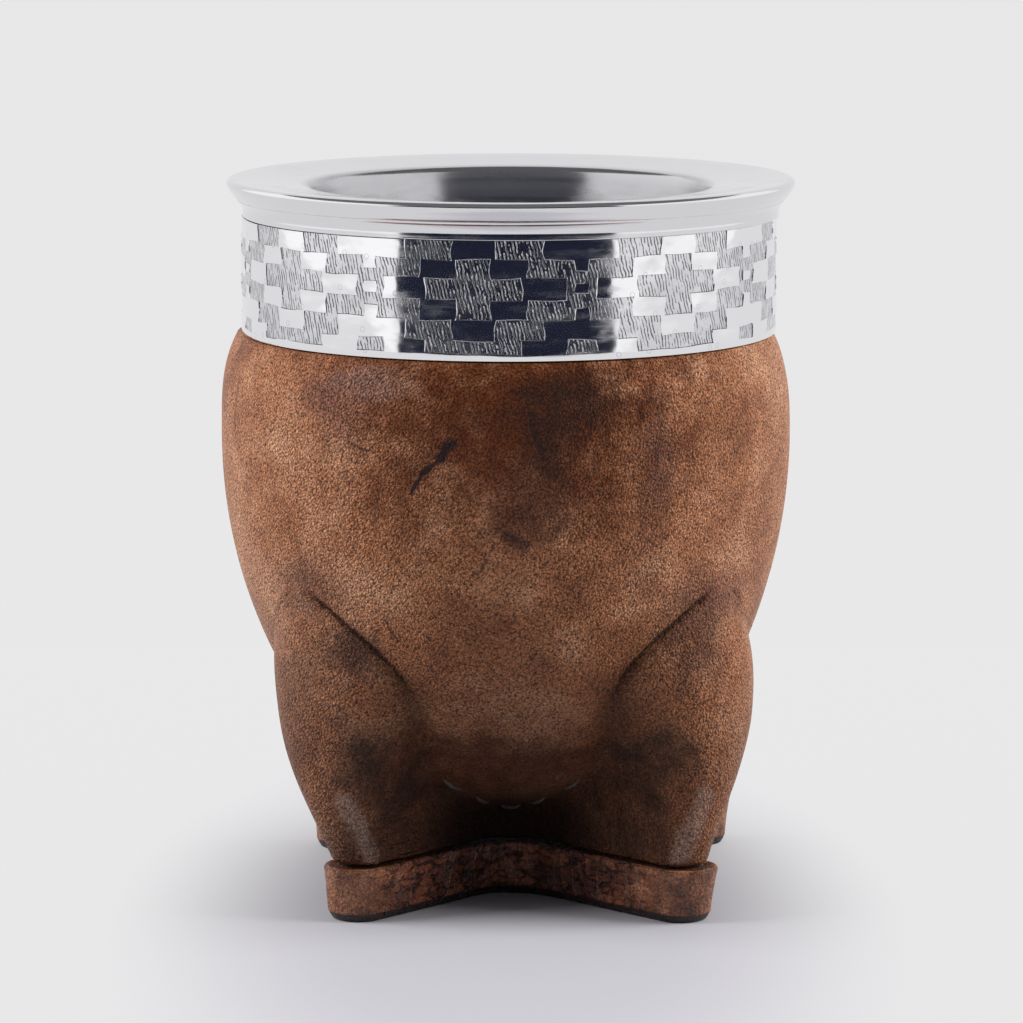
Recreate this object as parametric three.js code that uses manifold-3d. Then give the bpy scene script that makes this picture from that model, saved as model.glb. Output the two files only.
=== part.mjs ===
// A mate gourd cup: a gourd sewn into wet-moulded leather that is drawn down into four legs,
// on a cross-shaped leather sole, with a spun metal collar and an engraved metal band round its mouth.
// Millimetres, +Z up, front towards -Y. The origin is on the table, under the middle of the cup.
// Angles go round the cup in degrees from the front, positive towards +X.
import * as THREE from "three";
import { mergeVertices } from "three/addons/utils/BufferGeometryUtils.js";
import Module from "manifold-3d";

const wasm = await Module();
wasm.setup();

// Driving dimensions
const gap = 0.3; // clearance between pieces that touch

const rim = {
  top: 107.4, // highest point of the lip
  radius: 42.5, // outside of the lip
  mouth: 28.3, // radius at the lower end of the throat
  mouthHeight: 106.5, // where the flange rolls over into the throat
  sheet: 0.7, // thickness of the spun metal
};
// The throat, from the flange down: how much wider than the mouth, how far under the mouth's height
const throat = [
  [2.8, 0],
  [2.05, 0.2],
  [1.55, 0.7],
  [1.3, 1.5],
  [1.1, 2.5],
  [0.8, 4],
  [0.55, 5.5],
  [0.3, 8],
  [0.1, 10.5],
  [0, 13.5],
];
const band = { bottom: 84.5, top: 101.8, radius: 40.1, sheet: 0.5 };
const collarShift = 0.4; // the collar sits a little to the right of the body
const bandShift = 0.1;

const body = {
  widest: 42.7, // radius of the leather at its widest
  widestHeight: 70,
  bottom: 12.5, // underside of the belly
  roundness: [2, 0.43], // exponents of the belly's curve
  shoulder: 84.2, // where the leather meets the band
  shoulderDrop: 2.5,
  neckRadius: 37.5, // leather hidden in the collar
  neckTop: 92,
  shift: -0.45,
};
const leather = 2.1; // thickness of the cover
const gourdWall = 5;

const sole = { height: 8.1, bevel: 1.2, armHalfWidth: 4.8, flare: 0.9, valleyRound: 12 };
const leg = {
  bottom: sole.height + gap,
  inset: 1.6, // from the edge of the sole
  curl: 0.7, // how far the lower edge turns in
  knee: 27, // height where the leg stands out most
  apex: 50, // where the leg runs out into the body
  widestHeight: 38,
  widest: 15.5, // greatest half width
  apexHalfWidth: 6,
  crease: 1.1, // softness of the fold between leg and belly
  creaseTop: 5,
};
// Each leg: direction and reach of the sole's arm under it, direction and reach of its knee
const legs = [
  { soleAngle: -41, reach: 39, kneeAngle: -47.3, kneeReach: 41.9 },
  { soleAngle: 44.3, reach: 42, kneeAngle: 51, kneeReach: 43 },
  { soleAngle: 133, reach: 46.2, kneeAngle: 131.5, kneeReach: 44.5 },
  { soleAngle: 226, reach: 41, kneeAngle: 227, kneeReach: 41.8 },
];
const thread = {
  radius: 0.45,
  lowest: 13.6,
  rise: 7.0,
  short: 18, // degrees left free beside each leg's middle
  clear: 1.15,
  stitches: 7,
  wave: 0.25,
};

// Small helpers
const degrees = THREE.MathUtils.degToRad;
const clamp01 = (v) => Math.min(1, Math.max(0, v));
const share = (low, high, v) => clamp01((v - low) / (high - low));
const ease = (low, high, v) => THREE.MathUtils.smoothstep(v, low, high);
const mix = THREE.MathUtils.lerp;

function smoothMax(a, b, softness) {
  const near = Math.max(softness - Math.abs(a - b), 0);
  return Math.max(a, b) + (near * near) / (4 * softness);
}

// Radius of the round body at a height, taken in from the leather's outside by inset
function bodyRadius(z, inset = 0) {
  const widest = body.widest - inset;
  if (z >= body.widestHeight) {
    const up = (z - body.widestHeight) / (body.shoulder - body.widestHeight);
    return widest - body.shoulderDrop * up ** 3;
  }
  const depth = body.widestHeight - body.bottom - inset;
  const down = (body.widestHeight - z) / depth;
  const [inner, outer] = body.roundness;
  return down >= 1 ? 0 : widest * (1 - down ** inner) ** outer;
}

// Radius of a straight arm with a round end, seen at an angle off its own line
function armRadius(offAngle, reach, halfWidth) {
  const off = Math.abs(THREE.MathUtils.euclideanModulo(offAngle + 180, 360) - 180);
  if (off >= 90) return 0;
  const a = degrees(off);
  const centre = reach - halfWidth;
  if (a <= Math.atan2(halfWidth, centre)) {
    return centre * Math.cos(a) + Math.sqrt(Math.max(halfWidth ** 2 - (centre * Math.sin(a)) ** 2, 0));
  }
  return halfWidth / Math.sin(a);
}

// Four arms run together with rounded inner corners
function crossRadius(angle, armOf) {
  return legs
    .map((one) => {
      const arm = armOf(one);
      return armRadius(angle - arm.angle, arm.reach, arm.halfWidth);
    })
    .reduce((whole, next) => smoothMax(whole, next, sole.valleyRound), 0);
}

function soleRadius(angle, grow) {
  return crossRadius(angle, (one) => ({
    angle: one.soleAngle,
    reach: one.reach + grow,
    halfWidth: sole.armHalfWidth + grow * 0.6,
  }));
}

// One leg's direction, reach and half width at a height
function legSection(one, z) {
  const angle = mix(one.soleAngle, one.kneeAngle, ease(leg.bottom, 30, z));
  const foot = one.reach - leg.inset;
  const above = share(leg.knee, leg.apex, z) ** 1.6;
  const below = share(leg.knee, leg.bottom, z) ** 2.2;
  const reach =
    one.kneeReach - (one.kneeReach - bodyRadius(leg.apex)) * above - (one.kneeReach - foot) * below;
  const footHalfWidth = sole.armHalfWidth - leg.inset * 0.75;
  const widening = Math.sin((Math.PI / 2) * share(leg.bottom, leg.widestHeight, z) ** 1.9);
  const closing = share(leg.widestHeight, leg.apex, z) ** 2;
  const halfWidth =
    mix(footHalfWidth, leg.widest, widening) - (leg.widest - leg.apexHalfWidth) * closing;
  return { angle, reach, halfWidth };
}

// Outside of the leather: the round belly, and the legs that come out of it
function leatherRadius(angle, z) {
  const belly = bodyRadius(z);
  if (z >= leg.apex + 4) return belly;
  const fade = leg.creaseTop * ease(leg.apex, leg.apex + 4, z);
  const legged = crossRadius(angle, (one) => legSection(one, z)) - fade;
  const softness = mix(leg.crease, leg.creaseTop, ease(39, leg.apex, z));
  return smoothMax(belly, legged, softness);
}

// Solids
function onCup(angle, radius, z, shift = 0) {
  const a = degrees(angle);
  return new THREE.Vector3(radius * Math.sin(a) + shift, -radius * Math.cos(a), z);
}

// A closed solid through rings of points, lowest first, with a fan over each end
function loft(rings, axisX = 0) {
  const count = rings[0].length;
  const points = [...rings.flat()];
  const low = points.push(new THREE.Vector3(axisX, 0, rings[0][0].z)) - 1;
  const high = points.push(new THREE.Vector3(axisX, 0, rings.at(-1)[0].z)) - 1;
  const faces = [];
  const last = (rings.length - 1) * count;
  for (let i = 0; i < count; i++) {
    const j = (i + 1) % count;
    faces.push(low, j, i, high, last + i, last + j);
    for (let row = 0; row < last; row += count) {
      faces.push(row + i, row + j, row + count + j, row + i, row + count + j, row + count + i);
    }
  }
  const geometry = new THREE.BufferGeometry().setFromPoints(points);
  geometry.setIndex(faces);
  geometry.computeVertexNormals();
  return geometry;
}

function lathe(profile, segments) {
  const turned = new THREE.LatheGeometry(
    profile.map(([radius, z]) => new THREE.Vector2(radius, z)),
    segments,
  );
  return turned.rotateX(Math.PI / 2);
}

function toSolid(geometry) {
  const bare = geometry.clone();
  bare.deleteAttribute("normal");
  bare.deleteAttribute("uv");
  const merged = mergeVertices(bare, 1e-4);
  return new wasm.Manifold(
    new wasm.Mesh({
      numProp: 3,
      vertProperties: new Float32Array(merged.attributes.position.array),
      triVerts: new Uint32Array(merged.index.array),
    }),
  );
}

function toGeometry(solid) {
  const mesh = solid.getMesh();
  const geometry = new THREE.BufferGeometry();
  geometry.setAttribute("position", new THREE.BufferAttribute(mesh.vertProperties, 3));
  geometry.setIndex(new THREE.BufferAttribute(mesh.triVerts, 1));
  geometry.computeVertexNormals();
  return geometry;
}

// The outline of a level section between two directions
class Outline extends THREE.Curve {
  constructor(radiusAt, from, to, z, shift) {
    super();
    Object.assign(this, { radiusAt, from, to, z, shift });
  }
  getPoint(t, target = new THREE.Vector3()) {
    const angle = mix(this.from, this.to, t);
    return target.copy(onCup(angle, this.radiusAt(angle), this.z, this.shift));
  }
}

// A ring of points along the outline, from each leg to the valley beside it, closer at the leg's tip
const pointsPerSide = 11;
function ring(z, radiusAt, directionOf = (one) => one.kneeAngle, shift = 0) {
  const directions = legs.map(directionOf);
  const steps = Array.from({ length: pointsPerSide }, (_, i) => i / pointsPerSide);
  return directions.flatMap((tip, i) => {
    const next = directions[i + 1] ?? directions[0] + 360;
    const valley = (tip + next) / 2;
    const away = new Outline(radiusAt, tip, valley, z, shift);
    const towards = new Outline(radiusAt, valley, next, z, shift);
    return [
      ...steps.map((u) => away.getPointAt(u ** 1.5)),
      ...steps.map((u) => towards.getPointAt(1 - (1 - u) ** 1.5)),
    ];
  });
}

function leatherRing(z, curl = 0) {
  const radiusAt = (angle) => leatherRadius(angle, z) - curl;
  const shift = body.shift * ease(leg.knee, leg.apex, z);
  return ring(z, radiusAt, (one) => legSection(one, z).angle, shift);
}

// The gourd: an outer and an inner profile, the mouth cut open at the top
const gourdInset = leather + gap;
const gourdNeck = { outer: 35.6, inner: 31.1, top: 104.1 };

function gourdOuter(z) {
  const thickening = ease(72, body.shoulder, z);
  return mix(bodyRadius(z, gourdInset), gourdNeck.outer, thickening);
}

function gourdInner(z) {
  const narrowing = ease(body.widestHeight, body.neckTop, z);
  return mix(bodyRadius(Math.min(z, body.widestHeight), gourdInset + gourdWall), gourdNeck.inner, narrowing);
}

function gourdProfile() {
  const bowlHeights = [2, 5, 10, 17, 26, 37];
  const outerBottom = body.bottom + gourdInset;
  const innerBottom = outerBottom + gourdWall;
  const upper = [body.widestHeight, 76, 80, body.shoulder];
  const outer = [...bowlHeights.map((h) => outerBottom + h), ...upper].map((z) => [gourdOuter(z), z]);
  const inner = [...bowlHeights.map((h) => innerBottom + h), ...upper, 88, body.neckTop].map((z) => [
    gourdInner(z),
    z,
  ]);
  return [
    [0, outerBottom],
    ...outer,
    [gourdNeck.outer, gourdNeck.top],
    [gourdNeck.inner, gourdNeck.top],
    ...inner.reverse(),
    [0, innerBottom],
  ];
}

// The leather cover: lofted outside, hollowed to take the gourd
function leatherCover() {
  const heights = [
    9.3, 10.6, 12, 12.9, 13.4, 14, 14.9, 16.2, 18, 20, 22.5, 25, 28, 31, 34, 37, 40, 43, 46, 49, 52,
    57, 63, 70, 75, 79, 82, body.shoulder,
  ];
  const outside = toSolid(
    loft([
      leatherRing(leg.bottom, leg.curl),
      ...heights.map((z) => leatherRing(z)),
      ring(body.shoulder + 0.01, () => body.neckRadius),
      ring(body.neckTop, () => body.neckRadius),
    ]),
  );
  const hollow = gourdProfile().slice(1, 11);
  const grown = hollow.map(([radius, z]) => [radius + gap, z - gap]);
  const bottom = body.bottom + gourdInset - gap;
  const above = body.neckTop + 2;
  const cavity = lathe(
    [[0, bottom], ...grown, [gourdNeck.outer + gap, above], [0, above]],
    36,
  );
  return toGeometry(outside.subtract(toSolid(cavity)));
}

// The back of a sheet whose front runs inwards and down
function behind(front, thickness) {
  return front.map(([radius, z], i) => {
    const [fromRadius, fromZ] = front[i - 1] ?? [radius + 1, z];
    const [toRadius, toZ] = front[i + 1] ?? [radius, z - 1];
    const along = new THREE.Vector2(toRadius - fromRadius, toZ - fromZ).setLength(thickness);
    return [radius - along.y, i === front.length - 1 ? z : z + along.x];
  });
}

// The collar: skirt, cove, lip, dished flange and throat, all one spun sheet
function collarProfile() {
  const skirtOuter = band.radius - band.sheet - 2 * gap;
  const skirtInner = skirtOuter - rim.sheet;
  const coveFoot = band.top + gap;
  const throatFront = throat.map(([wider, depth]) => [rim.mouth + wider, rim.mouthHeight - depth]);
  return [
    [skirtInner, band.bottom + gap],
    [skirtOuter, band.bottom + gap],
    [skirtOuter, coveFoot],
    [band.radius, coveFoot],
    [band.radius + 0.1, 103.1],
    [rim.radius - 1.75, 104.3],
    [rim.radius - 0.75, 105.3],
    [rim.radius - 0.15, 106.1],
    [rim.radius, 106.7],
    [rim.radius - 0.25, 107.2],
    [rim.radius - 0.8, rim.top],
    [rim.radius - 1.5, rim.top - 0.05],
    ...throatFront,
    ...behind(throatFront, rim.sheet).reverse(),
    [rim.radius - 2.1, rim.top - 1.0],
    [rim.radius - 1.5, 106.0],
    [skirtInner + 0.7, 103.6],
    [skirtInner, 102.4],
    [skirtInner, band.bottom + gap],
  ];
}

function bandProfile() {
  const inner = band.radius - band.sheet;
  return [
    [inner, band.bottom],
    [band.radius - 0.15, band.bottom],
    [band.radius, band.bottom + 0.2],
    [band.radius, band.top],
    [inner, band.top],
    [inner, band.bottom],
  ];
}

// The sole: a cross with bevelled lower edge and sides that flare a little upwards
function soleSolid() {
  const soleRing = (z, grow) => ring(z, (angle) => soleRadius(angle, grow), (one) => one.soleAngle);
  return loft([
    soleRing(0, -sole.flare - 0.9),
    soleRing(sole.bevel, -sole.flare),
    soleRing(sole.height * 0.6, -sole.flare * 0.6),
    soleRing(sole.height, 0),
  ]);
}

// Sewing thread under the belly, from one leg to the next
class SeamCurve extends THREE.Curve {
  constructor(from, to) {
    super();
    this.middle = (from + to) / 2;
    this.half = (to - from) / 2 - thread.short;
  }
  getPoint(t, target = new THREE.Vector3()) {
    const side = 2 * t - 1;
    const angle = this.middle + this.half * side;
    const z = thread.lowest + thread.rise * side * side;
    const step = 0.05;
    const slope = (leatherRadius(angle, z + step) - leatherRadius(angle, z - step)) / (2 * step);
    const steep = Math.hypot(1, slope);
    const wave = thread.wave * Math.cos(2 * Math.PI * thread.stitches * t);
    const off = thread.clear + thread.wave + wave;
    return target.copy(
      onCup(angle, leatherRadius(angle, z) + off / steep + 0.4, z - (slope * off) / steep),
    );
  }
}

function threadSolid(from, to) {
  const sides = 6;
  const section = new THREE.Shape();
  for (let i = 0; i < sides; i++) {
    const a = (2 * Math.PI * i) / sides;
    const place = [thread.radius * Math.cos(a), thread.radius * Math.sin(a)];
    i ? section.lineTo(...place) : section.moveTo(...place);
  }
  return new THREE.ExtrudeGeometry(section, {
    steps: 28,
    bevelEnabled: false,
    extrudePath: new SeamCurve(from, to),
  });
}

// Materials
const finish = (color, roughness, metalness) =>
  new THREE.MeshStandardMaterial({ color, roughness, metalness });
const polishedMetal = finish(0xd9dadd, 0.12, 1);
const engravedMetal = finish(0xc9cbd0, 0.25, 1);
const brownLeather = finish(0x8a5334, 0.55, 0);
const soleLeather = finish(0x5e3422, 0.6, 0);
const gourdSkin = finish(0x9b6a3c, 0.75, 0);
const waxedThread = finish(0xa9a196, 0.6, 0);

// The cup
const cup = new THREE.Group();
const add = (name, geometry, material, shift = 0) => {
  const mesh = new THREE.Mesh(geometry, material);
  mesh.name = name;
  mesh.position.x = shift;
  cup.add(mesh);
};
add("collar", lathe(collarProfile(), 48), polishedMetal, collarShift);
add("engraved_band", lathe(bandProfile(), 48), engravedMetal, bandShift);
add("gourd", lathe(gourdProfile(), 36), gourdSkin);
add("leather_cover", leatherCover(), brownLeather);
add("sole", soleSolid(), soleLeather);

const sides = ["front", "right", "back", "left"];
const legMiddles = legs.map((one) => (one.soleAngle + one.kneeAngle) / 2);
sides.forEach((side, i) => {
  const from = legMiddles[i];
  const to = legMiddles[i + 1] ?? legMiddles[0] + 360;
  add(`seam_thread_${side}`, threadSolid(from, to), waxedThread);
});

export default cup;
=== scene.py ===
import math

import bpy
import numpy as np
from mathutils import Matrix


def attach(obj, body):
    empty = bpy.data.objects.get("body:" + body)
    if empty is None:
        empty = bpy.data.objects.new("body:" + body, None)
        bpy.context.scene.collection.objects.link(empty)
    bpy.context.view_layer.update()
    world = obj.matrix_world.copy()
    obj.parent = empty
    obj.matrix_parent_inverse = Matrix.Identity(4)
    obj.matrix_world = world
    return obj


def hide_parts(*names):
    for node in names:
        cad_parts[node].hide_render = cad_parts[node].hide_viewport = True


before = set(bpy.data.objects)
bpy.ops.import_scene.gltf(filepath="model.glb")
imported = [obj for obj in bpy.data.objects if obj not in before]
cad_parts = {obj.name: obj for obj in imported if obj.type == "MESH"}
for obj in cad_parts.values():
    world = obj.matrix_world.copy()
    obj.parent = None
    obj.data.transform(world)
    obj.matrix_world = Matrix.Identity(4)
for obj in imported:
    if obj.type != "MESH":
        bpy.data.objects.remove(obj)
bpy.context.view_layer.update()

# A mate gourd cup in moulded leather, with a spun metal collar and an engraved band.
# Shapes are worked out in millimetres and made in metres. Angles go round the cup from
# the front (-Y), positive towards +X. The rng is seeded, so every run gives the same cup.
rng = np.random.default_rng(11)


# Numbers

def smoothStep(low, high, value):
    t = np.clip((np.asarray(value, float) - low) / (high - low), 0.0, 1.0)
    return t * t * (3 - 2 * t)


def share(low, high, value):
    return np.clip((np.asarray(value, float) - low) / (high - low), 0.0, 1.0)


def smoothMax(a, b, softness):
    near = np.maximum(softness - np.abs(a - b), 0.0)
    return np.maximum(a, b) + near * near / (4 * softness)


def softCurve(points, perSpan=6):
    p = np.array([points[0], *points, points[-1]], float)
    out = []
    for i in range(1, len(p) - 2):
        for t in np.arange(perSpan) / perSpan:
            a, b, c, d = p[i - 1], p[i], p[i + 1], p[i + 2]
            out.append(0.5 * (2 * b + (c - a) * t + (2 * a - 5 * b + 4 * c - d) * t * t
                              + (3 * b - a - 3 * c + d) * t ** 3))
    return out + [p[-2]]


def onCup(angle, radius, z, shift=0.0):
    a = np.radians(angle)
    return np.stack(np.broadcast_arrays(radius * np.sin(a) + shift, -radius * np.cos(a), z), -1)


# Meshes

def addObject(name, data):
    added = bpy.data.objects.new(name, data)
    bpy.context.scene.collection.objects.link(added)
    return added


def meshPiece(name, points, faces, replaces):
    mesh = bpy.data.meshes.new(name)
    mesh.from_pydata((np.asarray(points) * 0.001).tolist(), [], faces)
    mesh.shade_smooth()
    mesh.update()
    piece = addObject(name, mesh)
    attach(piece, "root")
    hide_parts(replaces)
    return piece


def gridFaces(rows, columns, first=0, closed=False):
    # quads from ring to ring, and from the last ring back to the first where the form is closed
    faces = []
    for r in range(rows if closed else rows - 1):
        a = first + r * columns
        b = first + (r + 1) % rows * columns
        for c in range(columns):
            d = (c + 1) % columns
            faces.append((a + c, a + d, b + d, b + c))
    return faces


def cap(centre, ringStart, columns, facingUp):
    ring = [(ringStart + c, ringStart + (c + 1) % columns) for c in range(columns)]
    return [(centre, a, b) if facingUp else (centre, b, a) for a, b in ring]


def capped(rings, low, high):
    # rings from the bottom up, each end closed round a point on the axis
    rings = np.asarray(rings)
    rows, columns = rings.shape[:2]
    points = np.concatenate([rings.reshape(-1, 3), onCup(0, 0, [low, high])])
    count = rows * columns
    faces = gridFaces(rows, columns) + cap(count, 0, columns, False)
    return points, faces + cap(count + 1, count - columns, columns, True)


def addMask(piece, name, values):
    layer = piece.data.attributes.new(name, "FLOAT", "POINT")
    layer.data.foreach_set("value", np.asarray(values, np.float32).ravel())


def turned(name, profile, replaces, shift=0.0, segments=240):
    profile = np.array(profile)
    angles = np.arange(segments) * 360 / segments
    rings = onCup(angles[None, :], profile[:, :1], profile[:, 1:], shift)
    faces = gridFaces(len(profile), segments, closed=True)
    return meshPiece(name, rings.reshape(-1, 3), faces, replaces)


# Shader nodes

def plug(tree, socket, value):
    if isinstance(value, bpy.types.NodeSocket):
        tree.links.new(value, socket)
    elif value is not None:
        socket.default_value = value


def put(tree, kind, inputs=None, **settings):
    node = tree.nodes.new("ShaderNode" + kind)
    for name, value in settings.items():
        setattr(node, name, value)
    for name, value in (inputs or {}).items():
        plug(tree, node.inputs[name], value)
    return node


def calc(tree, operation, *values, clamp=False):
    node = put(tree, "Math", operation=operation, use_clamp=clamp)
    for socket, value in zip(node.inputs, values):
        plug(tree, socket, value)
    return node.outputs[0]


def times(tree, a, b, clamp=False):
    return calc(tree, "MULTIPLY", a, b, clamp=clamp)


def flip(tree, value):
    return calc(tree, "SUBTRACT", 1.0, value)


def strongest(tree, *masks):
    whole = masks[0]
    for one in masks[1:]:
        whole = calc(tree, "MAXIMUM", whole, one)
    return whole


def vectorCalc(tree, operation, *values):
    node = put(tree, "VectorMath", operation=operation)
    for socket, value in zip(node.inputs, values):
        plug(tree, socket, value)
    return node.outputs["Value" if operation in ("DOT_PRODUCT", "LENGTH") else "Vector"]


def scaled(tree, vector, factor):
    return put(tree, "VectorMath", {"Vector": vector, "Scale": factor}, operation="SCALE").outputs[0]


def shrunk(tree, vector, size):
    return scaled(tree, vector, calc(tree, "DIVIDE", 1.0, size))


def axis(tree, vector, name):
    return put(tree, "SeparateXYZ", {"Vector": vector}).outputs[name]


def remap(tree, value, low, high, toLow=0.0, toHigh=1.0):
    return put(tree, "MapRange", {"Value": value, "From Min": low, "From Max": high,
                                  "To Min": toLow, "To Max": toHigh},
               interpolation_type="SMOOTHSTEP").outputs["Result"]


def blend(tree, factor, first, second, how="MIX"):
    node = put(tree, "Mix", data_type="RGBA", blend_type=how)
    for index, value in ((0, factor), (6, first), (7, second)):
        plug(tree, node.inputs[index], (*value, 1) if isinstance(value, tuple) else value)
    return node.outputs[2]


def noise(tree, vector, scale=1.0, detail=2.0, roughness=0.5, output="Fac"):
    return put(tree, "TexNoise", {"Vector": vector, "Scale": scale, "Detail": detail,
                                  "Roughness": roughness}).outputs[output]


def wander(tree, vector, scale, detail, roughness=0.5):
    # noise round 0 in all three directions
    colour = noise(tree, vector, scale, detail, roughness, "Color")
    return vectorCalc(tree, "SUBTRACT", colour, (0.5, 0.5, 0.5))


def gradient(tree, factor, stops):
    ramp = put(tree, "ValToRGB", {"Fac": factor})
    elements = ramp.color_ramp.elements
    for position, colour in stops[1:-1]:
        elements.new(position)
    for element, (position, colour) in zip(elements, stops):
        element.position = position
        element.color = (*colour, 1)
    return ramp.outputs["Color"]


def bump(tree, height, depth, strength=1.0, normal=None):
    return put(tree, "Bump", {"Height": height, "Distance": depth * 0.001, "Strength": strength,
                              "Normal": normal}).outputs["Normal"]


def openGroup(name, inputs, outputs):
    tree = bpy.data.node_groups.new(name, "ShaderNodeTree")
    for label, kind, value in inputs:
        socket = tree.interface.new_socket(label, in_out="INPUT", socket_type="NodeSocket" + kind)
        if value is not None:
            socket.default_value = value
    for label in outputs:
        tree.interface.new_socket(label, in_out="OUTPUT", socket_type="NodeSocketFloat")
    return tree, tree.nodes.new("NodeGroupInput").outputs, tree.nodes.new("NodeGroupOutput").inputs


def place(tree, group, inputs):
    node = put(tree, "Group", node_tree=group)
    for name, value in inputs.items():
        plug(tree, node.inputs[name], value)
    return node.outputs


def newMaterial(name):
    material = bpy.data.materials.new(name)
    material.use_nodes = True
    tree = material.node_tree
    shader = tree.nodes["Principled BSDF"]
    position = put(tree, "TexCoord").outputs["Object"]
    return material, tree, shader, scaled(tree, position, 1000.0)


def mask(tree, name):
    return put(tree, "Attribute", attribute_name=name).outputs["Fac"]


def finish(tree, shader, colour, roughness, normal):
    for name, value in (("Base Color", colour), ("Roughness", roughness), ("Normal", normal)):
        plug(tree, shader.inputs[name], value)


def dress(piece, material):
    piece.data.materials.clear()
    piece.data.materials.append(material)


# Effects shared by several materials

def makePebbleGrain():
    tree, given, out = openGroup(
        "pebbleGrain",
        [("Vector", "Vector", None), ("Cell Size", "Float", 0.5), ("Wobble", "Float", 0.8)],
        ["Height", "Pores", "Tone"],
    )
    p = shrunk(tree, given["Vector"], given["Cell Size"])
    drift = calc(tree, "SUBTRACT", noise(tree, p, 0.45, 1.0), 0.5)
    moved = vectorCalc(tree, "ADD", p, scaled(tree, (1.3, -0.9, 1.5), times(tree, drift, given["Wobble"])))
    far = put(tree, "TexVoronoi", {"Vector": moved, "Scale": 1.0}).outputs["Distance"]
    plug(tree, out["Height"], remap(tree, far, 0.75, 0.1))
    cloud = noise(tree, p, 1.2, 2.0, 0.7)
    plug(tree, out["Pores"], times(tree, remap(tree, far, 0.5, 0.78), remap(
        tree, cloud, 0.62, 0.4, 0.35, 1.0)))
    plug(tree, out["Tone"], remap(tree, cloud, 0.3, 0.7))
    return tree


def makeMottling():
    tree, given, out = openGroup(
        "mottling",
        [("Vector", "Vector", None), ("Patch Size", "Float", 10.0), ("Contrast", "Float", 1.0)],
        ["Mask"],
    )
    p = shrunk(tree, given["Vector"], given["Patch Size"])
    cloud = noise(tree, p, 1.0, 3.0, 0.62)
    spread = times(tree, calc(tree, "SUBTRACT", cloud, 0.5), given["Contrast"])
    plug(tree, out["Mask"], calc(tree, "MULTIPLY_ADD", spread, 2.6, 0.5, clamp=True))
    return tree


def makeWrinkles():
    tree, given, out = openGroup(
        "wrinkles",
        [("Vector", "Vector", None), ("Frequency", "Vector", (0.1, 0.1, 1.0)), ("Sharpness", "Float", 3.0)],
        ["Height"],
    )
    p = vectorCalc(tree, "MULTIPLY", given["Vector"], given["Frequency"])
    wave = noise(tree, p, 1.0, 1.5, 0.55)
    ridge = calc(tree, "ABSOLUTE", calc(tree, "MULTIPLY_ADD", wave, 4.0, -2.0), clamp=True)
    plug(tree, out["Height"], flip(tree, calc(tree, "POWER", flip(tree, ridge), given["Sharpness"])))
    return tree


def makeStroke():
    tree, given, out = openGroup(
        "markStroke",
        [("Vector", "Vector", None), ("Grit", "Float", 0.0), ("Start", "Vector", (0, 0, 0)),
         ("Line", "Vector", (0, 0, 1)), ("Line Share", "Vector", (0, 0, 1)),
         ("Width", "Float", 0.5), ("Ragged", "Float", 1.0)],
        ["Mask"],
    )
    away = vectorCalc(tree, "SUBTRACT", given["Vector"], given["Start"])
    along = calc(tree, "MAXIMUM", calc(tree, "MINIMUM", vectorCalc(
        tree, "DOT_PRODUCT", away, given["Line Share"]), 1.0), 0.0)
    far = vectorCalc(tree, "LENGTH", vectorCalc(tree, "SUBTRACT", away, scaled(tree, given["Line"], along)))
    ragged = calc(tree, "MULTIPLY_ADD", given["Grit"], given["Ragged"], far)
    plug(tree, out["Mask"], calc(tree, "SUBTRACT", 1.9, times(
        tree, 1.9, calc(tree, "DIVIDE", ragged, given["Width"])), clamp=True))
    return tree


def drawStroke(tree, p, grit, start, end, width, ragged):
    line = np.array(end) - start
    return place(tree, markStroke, {
        "Vector": p, "Grit": grit, "Start": start, "Line": tuple(map(float, line)),
        "Line Share": tuple(map(float, line / (line @ line))), "Width": width, "Ragged": ragged})["Mask"]


def makePolish():
    tree, given, out = openGroup(
        "handPolish",
        [("Vector", "Vector", None), ("Wave Size", "Float", 8.0)],
        ["Waves", "Haze", "Pits"],
    )
    p = shrunk(tree, given["Vector"], given["Wave Size"])
    plug(tree, out["Waves"], noise(tree, p, 1.0, 1.5, 0.4))
    haze = noise(tree, vectorCalc(tree, "MULTIPLY", given["Vector"], (0.12, 0.12, 0.5)), 1.0, 4.0, 0.65)
    plug(tree, out["Haze"], remap(tree, haze, 0.42, 0.72))
    dots = put(tree, "TexVoronoi", {"Vector": given["Vector"], "Scale": 0.45, "Randomness": 1.0})
    rare = calc(tree, "GREATER_THAN", put(tree, "SeparateColor", {
        "Color": dots.outputs["Color"]}).outputs[0], 0.86)
    plug(tree, out["Pits"], times(tree, rare, remap(tree, dots.outputs["Distance"], 0.14, 0.05)))
    return tree


def mottled(tree, p, patch, contrast):
    return place(tree, mottling, {"Vector": p, "Patch Size": patch, "Contrast": contrast})["Mask"]


def wrinkled(tree, p, frequency, sharpness):
    return place(tree, wrinkles, {"Vector": p, "Frequency": frequency, "Sharpness": sharpness})["Height"]


pebbleGrain = makePebbleGrain()
mottling = makeMottling()
wrinkles = makeWrinkles()
markStroke = makeStroke()
handPolish = makePolish()
print("effects made")


# The leather cover

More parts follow.
